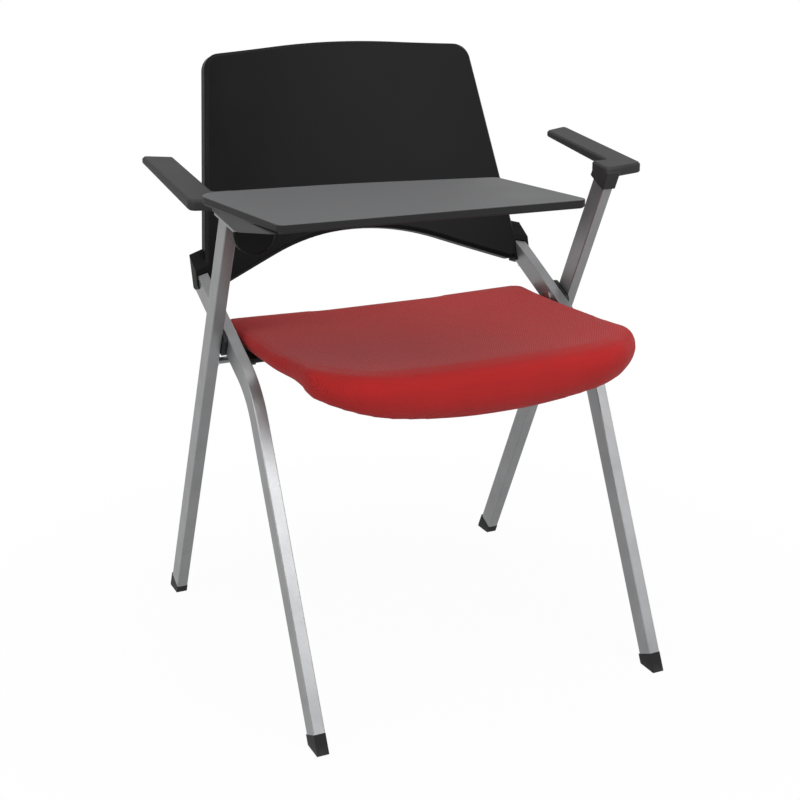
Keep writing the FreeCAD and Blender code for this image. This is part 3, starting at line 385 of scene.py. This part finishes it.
# Finishes of the CAD nodes
FINISHES = {
    "front_leg_tube": satin_chrome("front_tube_chrome", LEG_RAKE),
    "rear_leg_tube": satin_chrome("rear_tube_chrome", -LEG_RAKE),
    "seat_axle": satin_chrome("axle_chrome", 0.0),
    "tablet_strap": satin_chrome("strap_chrome", STRAP_LEAN),
    "pivot_pin": zinc_steel("pivot_pin_steel"),
    "tablet_pin": zinc_steel("tablet_pin_steel"),
    "backrest_shell": moulded_black("backrest_plastic", 0.004, 0.006, 0.40, 0.48, 0.05),
    "arm_pad": moulded_black("arm_pad_plastic", 0.028, 0.036, 0.46, 0.56, 0.08, 1200.0, 0.00009),
    "tablet_hub": moulded_black("hub_plastic", 0.004, 0.006, 0.36, 0.44, 0.1),
    "tablet_support": moulded_black("support_plastic", 0.040, 0.050, 0.42, 0.52, 0.1),
    "tablet_bracket": moulded_black("bracket_plastic", 0.010, 0.014, 0.44, 0.52),
    "pivot_spacer": moulded_black("spacer_plastic", 0.008, 0.012, 0.40, 0.50),
    "pivot_bush": moulded_black("bush_plastic", 0.012, 0.018, 0.30, 0.40),
    "seat_pan": moulded_black("pan_plastic", 0.012, 0.017, 0.46, 0.58),
    "seat_hinge": moulded_black("hinge_plastic", 0.010, 0.014, 0.42, 0.52),
    "seat_rest": moulded_black("rest_plastic", 0.010, 0.014, 0.45, 0.55),
    "front_foot": foot_rubber("front_foot_rubber"),
    "rear_foot": foot_rubber("rear_foot_rubber"),
    "tablet_board": writing_laminate("tablet_laminate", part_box("tablet_board")[1][2]),
}
for node_name, node in nodes.items():
    for start, finish in FINISHES.items():
        if node_name.startswith(start):
            dress(node, finish)


# Seat pad: the CAD cushion's form, filled by a cloth simulation
def resting_group(pad):
    """Group the vertices of the underside that rests on the pan, and all the others as free."""
    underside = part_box("seat_pan")[1][2] + PAD_UNDERSIDE_SLACK
    rear_of_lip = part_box("seat_pan")[0][1]
    group = pad.vertex_groups.new(name="resting")
    free = pad.vertex_groups.new(name="free")
    for vertex in pad.data.vertices:
        resting = vertex.co.z < underside and vertex.co.y > rear_of_lip
        (group if resting else free).add([vertex.index], 1.0, "REPLACE")


def ease(value, start, end):
    """0 at the start, 1 at the end and smooth between them."""
    share = min(max((value - start) / (end - start), 0.0), 1.0)
    return share * share * (3.0 - 2.0 * share)


def lip_bow(share):
    """How far the lip's even arch lies below its straight stretches, at a share of the half width."""
    rank = max(index for index, station in enumerate(PAD_STATIONS[:-1]) if station <= share)
    start, end = PAD_STATIONS[rank], PAD_STATIONS[rank + 1]
    chord = end ** 2 if rank == 0 else start ** 2 + (start + end) * (share - start)
    return LIP_ARCH * (chord - share ** 2)


def shape_the_form(pad):
    """Full side rims, rounder front corners, and a lip whose lower edge is one even arch."""
    low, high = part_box("seat_cushion")
    front, lip_z, top_z = low[1], low[2], high[2]
    for vertex in pad.data.vertices:
        point = vertex.co
        across = abs(point.x)
        share = min(across / PAD_HALF_WIDTH, PAD_STATIONS[-1])
        down = (top_z - point.z) / (top_z - lip_z - LIP_ARCH * share ** 2)
        in_lip = ease(point.y, front + LIP_DEPTH, front + LIP_DEPTH * LIP_FULL_SHARE)
        in_lip *= min(max(down, 0.0), 1.0)
        rim = max(across - PAD_FLAT_HALF_WIDTH, 0.0) / (PAD_HALF_WIDTH - PAD_FLAT_HALF_WIDTH)
        upper = ease(point.z, PAD_UNDERSIDE_Z + RIM_START_HEIGHT, PAD_UNDERSIDE_Z + RIM_FULL_HEIGHT)
        corner = ease(across, CORNER_START_X, CORNER_FULL_X)
        corner *= ease(point.y, front + CORNER_START_REACH, front + CORNER_FULL_REACH)
        point.z += RIM_RISE * rim ** 2 * upper - lip_bow(share) * in_lip
        point.x -= math.copysign(CORNER_PULL * corner, point.x)
        point.y += CORNER_PUSH * corner


def tighten_the_fold(pad):
    """Turn the top into the front on a tighter fold, with the same height and reach."""
    fronts, tops = {}, {}
    for vertex in pad.data.vertices:
        column = round(vertex.co.x / FOLD_STEP)
        fronts[column] = min(fronts.get(column, vertex.co.y), vertex.co.y)
    for vertex in pad.data.vertices:
        column = round(vertex.co.x / FOLD_STEP)
        if vertex.co.y < fronts[column] + FOLD_TOP_SHARE * FOLD_REACH:
            tops[column] = max(tops.get(column, vertex.co.z), vertex.co.z)
    for vertex in pad.data.vertices:
        column = round(vertex.co.x / FOLD_STEP)
        forward = (fronts[column] + FOLD_REACH - vertex.co.y) / FOLD_REACH
        upward = (vertex.co.z - tops.get(column, vertex.co.z)) / FOLD_REACH + 1.0
        if forward <= 0.0 or upward <= 0.0:
            continue
        radius = math.hypot(forward, upward)
        square = (forward ** FOLD_POWER + upward ** FOLD_POWER) ** (1.0 / FOLD_POWER)
        stretch = (radius / square - 1.0) * ease(abs(vertex.co.x), FOLD_END_X, FOLD_FULL_X)
        vertex.co.y -= stretch * forward * FOLD_REACH
        vertex.co.z += stretch * upward * FOLD_REACH


def fill_with_foam(pad):
    """Blow the cover out like a filled pad, with each point's movement capped."""
    cloth = pad.modifiers.new("filling", "CLOTH")
    cloth.settings.quality = PAD_STEPS_PER_FRAME
    cloth.settings.use_pressure = True
    cloth.settings.uniform_pressure_force = PAD_PRESSURE
    cloth.settings.effector_weights.gravity = 0.0
    cloth.settings.vertex_group_mass = "resting"
    cloth.settings.bending_stiffness = PAD_STIFFNESS
    cloth.point_cache.frame_start = 1
    cloth.point_cache.frame_end = PAD_FRAMES
    for step in range(1, PAD_FRAMES + 1):
        scene.frame_set(step)
    filled = pad.evaluated_get(bpy.context.evaluated_depsgraph_get())
    places = [vertex.co.copy() for vertex in filled.data.vertices]
    pad.modifiers.remove(cloth)
    for vertex, place in zip(pad.data.vertices, places):
        move = place - vertex.co
        if move.length > PAD_SWELL_LIMIT:
            move *= PAD_SWELL_LIMIT / move.length
        vertex.co += move
    scene.frame_set(1)


def grow(pad, distance):
    """Move the free part of the cover outwards, or inwards where the distance is negative."""
    growth = pad.modifiers.new("growth", "DISPLACE")
    growth.strength = distance
    growth.mid_level = 0.0
    growth.vertex_group = "free"
    apply_modifier(pad, growth)


def smooth_over(pad, passes):
    """Even out the free part of the cover."""
    smoothing = pad.modifiers.new("smoothing", "SMOOTH")
    smoothing.iterations = passes
    smoothing.vertex_group = "free"
    apply_modifier(pad, smoothing)


def seat_pad():
    """The upholstered pad that stands for the CAD cushion."""
    pad = bpy.data.objects.new("seat_pad", nodes["seat_cushion"].data.copy())
    scene.collection.objects.link(pad)
    only(pad)
    bpy.ops.object.mode_set(mode="EDIT")
    bpy.ops.mesh.select_all(action="SELECT")
    bpy.ops.mesh.remove_doubles(threshold=PAD_WELD)
    bpy.ops.mesh.normals_make_consistent(inside=False)
    bpy.ops.object.mode_set(mode="OBJECT")
    even = pad.modifiers.new("even_faces", "REMESH")
    even.mode = "VOXEL"
    even.voxel_size = PAD_VOXEL
    apply_modifier(pad, even)
    shape_the_form(pad)
    tighten_the_fold(pad)
    resting_group(pad)
    smooth_over(pad, FORM_PASSES)
    grow(pad, PAD_PLUMP)
    form = bpy.data.objects.new("pad_form", pad.data.copy())
    scene.collection.objects.link(form)
    grow(pad, -PAD_SHRINK)
    fill_with_foam(pad)
    smooth_over(pad, FILLED_PASSES)
    full = pad.modifiers.new("full_form", "SHRINKWRAP")
    full.target = form
    full.wrap_method = "NEAREST_SURFACEPOINT"
    full.wrap_mode = "OUTSIDE"
    full.vertex_group = "free"
    apply_modifier(pad, full)
    bpy.data.objects.remove(form)
    smooth_over(pad, LAST_PASSES)
    only(pad)
    bpy.ops.object.shade_smooth()
    pad.vertex_groups.clear()
    dress(pad, woven_red("seat_cloth"))
    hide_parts("seat_cushion")
    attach(pad, "seat")


seat_pad()


# Screws and axle rings
def cross_screw():
    """Round-headed screw with a cross recess, modelled at the origin with its head up."""
    bpy.ops.object.select_all(action="DESELECT")
    bpy.ops.mesh.primitive_cylinder_add(
        vertices=32, radius=SCREW_RADIUS, depth=SCREW_HEIGHT, location=(0, 0, SCREW_HEIGHT / 2)
    )
    screw = bpy.context.object
    select_faces(screw, lambda face: face.normal.z > 0.9)
    bpy.ops.mesh.region_to_loop()
    bpy.ops.mesh.bevel(offset=SCREW_HEIGHT * 0.7, segments=4, affect="EDGES")
    bpy.ops.object.mode_set(mode="OBJECT")
    bpy.ops.object.select_all(action="DESELECT")
    bpy.ops.mesh.primitive_cube_add(
        size=1.0, location=(0, 0, SCREW_HEIGHT), scale=(RECESS_WIDTH, RECESS_WIDTH, 2 * RECESS_DEPTH)
    )
    cutter = bpy.context.object
    settle(cutter)
    select_faces(cutter, lambda face: abs(face.normal.z) < 0.5)
    bpy.ops.mesh.extrude_faces_move(TRANSFORM_OT_shrink_fatten={"value": RECESS_REACH})
    bpy.ops.object.mode_set(mode="OBJECT")
    recess = screw.modifiers.new("recess", "BOOLEAN")
    recess.operation = "DIFFERENCE"
    recess.solver = "EXACT"
    recess.object = cutter
    apply_modifier(screw, recess)
    bpy.data.objects.remove(cutter)
    only(screw)
    bpy.ops.object.shade_smooth_by_angle(angle=SHARP_EDGE)
    return screw


def axle_ring():
    """Plain ring with softened rims, modelled at the origin with its bore upright."""
    bpy.ops.object.select_all(action="DESELECT")
    bpy.ops.mesh.primitive_cylinder_add(vertices=48, radius=RING_RADIUS, depth=RING_LENGTH)
    ring = bpy.context.object
    select_faces(ring, lambda face: abs(face.normal.z) > 0.9)
    bpy.ops.mesh.bevel(offset=RING_ROUNDING, segments=2, affect="EDGES")
    select_faces(ring, lambda face: len(face.vertices) > 4)
    bpy.ops.mesh.inset(thickness=RING_RADIUS - RING_ROUNDING - RING_BORE)
    bpy.ops.mesh.bridge_edge_loops()
    bpy.ops.mesh.select_all(action="SELECT")
    bpy.ops.mesh.normals_make_consistent(inside=False)
    bpy.ops.object.mode_set(mode="OBJECT")
    bpy.ops.object.shade_smooth_by_angle(angle=SHARP_EDGE)
    return ring


def on_rear_leg(distance, offset):
    """Point (y, z) up the rear leg from the pivot and behind its middle line."""
    y = PIVOT_Y - distance * math.sin(LEG_RAKE) + offset * math.cos(LEG_RAKE)
    z = PIVOT_Z + distance * math.cos(LEG_RAKE) + offset * math.sin(LEG_RAKE)
    return y, z


def on_back_tube(distance, offset):
    """Point (y, z) back along the upper tube from the pivot and above its middle line."""
    y = PIVOT_Y + distance * math.cos(LEG_RAKE) - offset * math.sin(LEG_RAKE)
    z = PIVOT_Z + distance * math.sin(LEG_RAKE) + offset * math.cos(LEG_RAKE)
    return y, z


def screw_places():
    """Where each screw sits: its name, place, facing and body."""
    down = (0.0, 0.0, -1.0)
    hinge_y, _ = on_rear_leg(-AXLE_DROP, 0.0)
    keel_facing = (0.0, -math.sin(KEEL_SLOPE), -math.cos(KEEL_SLOPE))
    collar_facing = (0.0, math.cos(LEG_RAKE), math.sin(LEG_RAKE))
    socket_facing = (0.0, math.sin(LEG_RAKE), -math.cos(LEG_RAKE))
    for side, side_name in ((1, "left"), (-1, "right")):
        for y, end in ((PAN_SCREW_FRONT_Y, "front"), (PAN_SCREW_REAR_Y, "rear")):
            yield f"pan_screw_{side_name}_{end}", (side * PAN_SCREW_X, y, PAN_UNDERSIDE_Z), down, "seat"
        for step, end in ((-HINGE_SCREW_STEP, "front"), (HINGE_SCREW_STEP, "rear")):
            place = (side * HINGE_SCREW_X, hinge_y + step, HINGE_PLATE_UNDERSIDE_Z)
            yield f"hinge_screw_{side_name}_{end}", place, down, "seat"
        collar = (side * REAR_TUBE_MIDDLE_X, *on_rear_leg(COLLAR_SCREW_RUN, SLEEVE_HALF_DEPTH))
        yield f"arm_screw_{side_name}", collar, collar_facing, "rear_frame"
        socket = (side * FRONT_TUBE_MIDDLE_X, *on_back_tube(SOCKET_SCREW_RUN, -SLEEVE_HALF_DEPTH))
        yield f"socket_screw_{side_name}", socket, socket_facing, "front_frame"
    keel_z = KEEL_Z + (KEEL_Y - KEEL_SCREW_Y) * math.tan(KEEL_SLOPE)
    for x, side_name in ((KEEL_SCREW_OUTER_X, "outer"), (KEEL_SCREW_INNER_X, "inner")):
        yield f"tablet_screw_{side_name}", (x, KEEL_SCREW_Y, keel_z), keel_facing, "tablet"


def fit_fasteners():
    """Put a screw at each of its places and a ring at each end of the seat's axle."""
    screw = cross_screw()
    screw_steel = zinc_steel("screw_zinc")
    for name, place, facing, body in screw_places():
        piece = place_copy(screw, name, place, facing)
        dress(piece, screw_steel)
        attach(piece, body)
    bpy.data.objects.remove(screw)
    ring = axle_ring()
    ring_steel = zinc_steel("ring_zinc")
    axle_place = on_rear_leg(-AXLE_DROP, 0.0)
    for side, side_name in ((1, "left"), (-1, "right")):
        x = side * (REAR_TUBE_INNER_X - RING_LENGTH / 2)
        piece = place_copy(ring, f"axle_ring_{side_name}", (x, *axle_place), (1.0, 0.0, 0.0))
        dress(piece, ring_steel)
        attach(piece, "rear_frame")
    bpy.data.objects.remove(ring)


fit_fasteners()

# Camera
camera_data = bpy.data.cameras.new("photo_camera")
camera_data.lens = CAMERA_LENS
camera_data.sensor_width = CAMERA_SENSOR
camera = bpy.data.objects.new("photo_camera", camera_data)
scene.collection.objects.link(camera)
camera.location = CAMERA_PLACE
camera.rotation_mode = "QUATERNION"
camera.rotation_quaternion = CAMERA_AIM.to_track_quat("-Z", "Y")
scene.camera = camera
scene.view_settings.view_transform = "Standard"


# Studio: white surroundings, a pale floor that keeps the shadow, and soft boxes
def seen_directly(tree):
    """1 where the camera or a reflection looks, 0 for the light that falls on the chair."""
    path = add_node(tree, "LightPath")
    first = calculate(tree, "MAXIMUM", path.outputs["Is Camera Ray"], path.outputs["Is Glossy Ray"])
    return calculate(tree, "MAXIMUM", first, path.outputs["Is Transmission Ray"])


def blend_shaders(tree, share, first, second):
    mix = add_node(tree, "MixShader")
    tree.links.new(share, mix.inputs[0])
    tree.links.new(first.outputs[0], mix.inputs[1])
    tree.links.new(second.outputs[0], mix.inputs[2])
    return mix


def surroundings():
    """White where it is seen, and a low even light on the chair."""
    world = bpy.data.worlds.new("studio")
    scene.world = world
    world.use_nodes = True
    tree = world.node_tree
    tree.nodes.clear()
    white = add_node(tree, "Background", {"Color": (1, 1, 1, 1), "Strength": 1.0})
    light = add_node(tree, "Background", {"Color": (1, 1, 1, 1), "Strength": WORLD_LIGHT})
    output = add_node(tree, "OutputWorld")
    both = blend_shaders(tree, seen_directly(tree), light, white)
    tree.links.new(both.outputs[0], output.inputs["Surface"])


def studio_floor():
    """White floor that keeps the chair's soft shadow."""
    bpy.ops.object.select_all(action="DESELECT")
    bpy.ops.mesh.primitive_plane_add(size=FLOOR_WIDTH)
    floor = bpy.context.object
    floor.name = "studio_floor"
    material = bpy.data.materials.new("pale_floor")
    material.use_nodes = True
    tree = material.node_tree
    tree.nodes.clear()
    distance = add_node(tree, "VectorMath", operation="LENGTH")
    tree.links.new(object_place(tree), distance.inputs[0])
    whiteness = spread(
        tree, distance.outputs["Value"], FLOOR_SHADOW_WHITENESS, 1.0, FLOOR_SHADOW_RADIUS, FLOOR_WHITE_RADIUS
    )
    matt = add_node(tree, "BsdfDiffuse", {"Color": (FLOOR_GREY, FLOOR_GREY, FLOOR_GREY, 1)})
    white = add_node(tree, "Emission", {"Color": (1, 1, 1, 1), "Strength": 1.0})
    output = add_node(tree, "OutputMaterial")
    share = calculate(tree, "MULTIPLY", seen_directly(tree), whiteness)
    both = blend_shaders(tree, share, matt, white)
    tree.links.new(both.outputs[0], output.inputs["Surface"])
    dress(floor, material)


def soft_box(name, place, width, watts):
    """A square lamp aimed at the chair."""
    lamp = bpy.data.lights.new(name, "AREA")
    lamp.shape = "SQUARE"
    lamp.size = width
    lamp.energy = watts
    holder = bpy.data.objects.new(name, lamp)
    scene.collection.objects.link(holder)
    holder.location = place
    holder.rotation_mode = "QUATERNION"
    holder.rotation_quaternion = (LIGHT_AIM - Vector(place)).to_track_quat("-Z", "Y")


surroundings()
studio_floor()
soft_box("key_box", (0.8, -2.6, 2.1), 1.8, 66.0)
soft_box("top_box", (-0.2, -0.8, 2.7), 3.0, 48.0)
soft_box("side_box", (-2.4, -1.0, 1.5), 1.2, 33.0)
